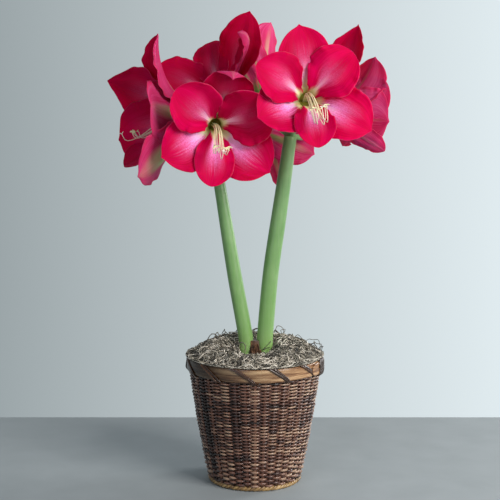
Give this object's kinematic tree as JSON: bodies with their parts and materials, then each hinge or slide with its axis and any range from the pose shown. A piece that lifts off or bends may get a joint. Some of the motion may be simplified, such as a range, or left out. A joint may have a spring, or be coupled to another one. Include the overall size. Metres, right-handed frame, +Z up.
{
  "type": "potted amaryllis",
  "caption": "Potted amaryllis in full bloom: stout leafless stalks with umbels of crimson-pink trumpet flowers, rising from curly moss in a round dark wicker basket.",
  "frame": {"origin": "centre of the basket's underside, on the surface it stands on", "axes": "+Z up along the basket's axis, -Y towards the front of the plant, +X to its right as seen from the front"},
  "size_m": [0.3632, 0.2696, 0.6133],
  "materials": {
    "wicker": "satin",
    "bent_wood": "satin",
    "cane": "satin",
    "nursery_plastic": "matte",
    "potting_mix": "matte",
    "bulb_skin": "matte",
    "moss": "matte",
    "stalk": "satin",
    "tepal": "satin",
    "stamen": "matte"
  },
  "bodies": {
    "root": {"basket_wall": "wicker", "rim_hoop": "bent_wood", "foot_border": "cane", "basket_base": "wicker", "grow_pot": "nursery_plastic", "potting_mix": "potting_mix", "bulb": "bulb_skin", "moss": "moss", "scape_left": "stalk", "scape_right": "stalk", "bloom_front_left": "tepal", "stamens_front_left": "stamen", "bloom_front_right": "tepal", "stamens_front_right": "stamen", "bloom_far_left": "tepal", "stamens_far_left": "stamen", "bloom_top_left": "tepal", "stamens_top_left": "stamen", "bloom_rear_left": "tepal", "stamens_rear_left": "stamen", "bloom_far_right": "tepal", "stamens_far_right": "stamen", "bloom_top_right": "tepal", "stamens_top_right": "stamen", "bloom_rear_right": "tepal", "stamens_rear_right": "stamen"}
  },
  "joints": []
}
